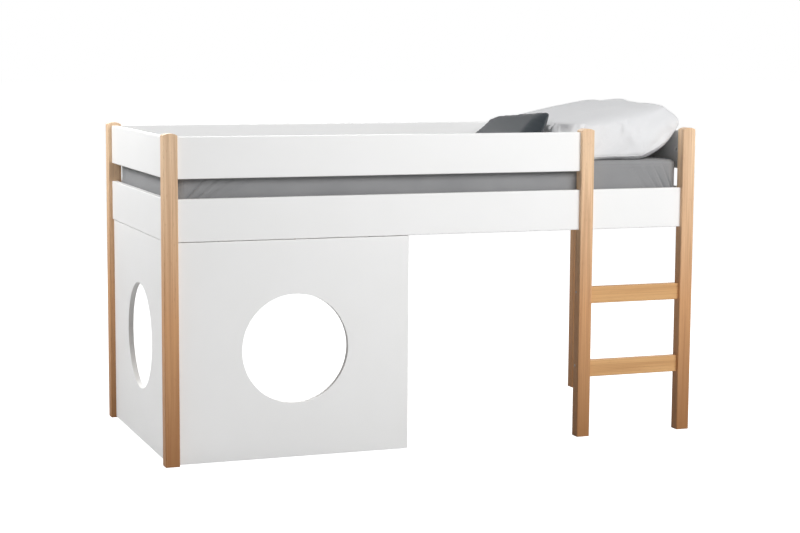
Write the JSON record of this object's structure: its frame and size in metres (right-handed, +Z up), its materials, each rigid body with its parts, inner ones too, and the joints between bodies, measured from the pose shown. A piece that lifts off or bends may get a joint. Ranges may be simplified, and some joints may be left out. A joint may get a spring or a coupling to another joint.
{
  "type": "half-high cabin bed",
  "caption": "Half-high single bed on corner posts, with guard boards, a ladder at the head end, two play panels with round windows, slats, mattress, pillow and cushion.",
  "frame": {"origin": "on the floor, in the middle of the bed's footprint", "axes": "+X along the bed to its head end, -Y to the ladder side, +Z up"},
  "size_m": [2.074, 0.974, 1.263],
  "materials": {
    "post_wood": "clear satin lacquer on straight-grained beech",
    "white_board": "smooth satin white paint",
    "slat_wood": "planed, untreated pine",
    "dowel_wood": "fluted beech dowel",
    "zinc_steel": "bright zinc plated",
    "zinc_casting": "cast zinc, as cast",
    "mattress_cover": "knitted cover on foam",
    "sheet_fabric": "matt grey cotton jersey",
    "pillow_fabric": "soft white cotton",
    "cushion_fabric": "matt charcoal cotton"
  },
  "bodies": {
    "frame": {"post_front_left": "post_wood", "post_front_right": "post_wood", "post_rear_left": "post_wood", "post_rear_right": "post_wood", "ladder_post": "post_wood", "ladder_rung_lower": "post_wood", "ladder_rung_upper": "post_wood", "side_rail_front": "white_board", "side_rail_rear": "white_board", "end_rail_foot": "white_board", "end_rail_head": "white_board", "guard_board_front": "white_board", "guard_board_rear": "white_board", "guard_board_foot": "white_board", "guard_board_head": "white_board", "play_panel_front": "white_board", "play_panel_foot": "white_board", "slat_ledge_front": "slat_wood", "slat_ledge_rear": "slat_wood", "slat_01": "slat_wood", "slat_02": "slat_wood", "slat_03": "slat_wood", "slat_04": "slat_wood", "slat_05": "slat_wood", "slat_06": "slat_wood", "slat_07": "slat_wood", "slat_08": "slat_wood", "slat_09": "slat_wood", "slat_10": "slat_wood", "slat_11": "slat_wood", "slat_12": "slat_wood", "slat_13": "slat_wood", "slat_14": "slat_wood", "slat_15": "slat_wood", "connector_pins": "zinc_steel", "connector_cams": "zinc_casting", "wooden_dowels": "dowel_wood", "ladder_bolts": "zinc_steel", "barrel_nuts": "zinc_steel", "ledge_screws": "zinc_steel", "slat_screws": "zinc_steel", "ladder_post_screws": "zinc_steel"},
    "bedding": {"mattress": "mattress_cover", "fitted_sheet": "sheet_fabric"},
    "pillow": {"pillow": "pillow_fabric"},
    "cushion": {"cushion": "cushion_fabric"}
  },
  "joints": [
    {"name": "mattress_lift", "type": "slide", "parent": "frame", "child": "bedding", "axis": [0, 0, 1], "range_m": [0, 0.28]},
    {"name": "pillow_lift", "type": "slide", "parent": "bedding", "child": "pillow", "axis": [0, 0, 1], "range_m": [0, 0.25]},
    {"name": "cushion_lift", "type": "slide", "parent": "pillow", "child": "cushion", "axis": [0, 0, 1], "range_m": [0, 0.25]}
  ]
}
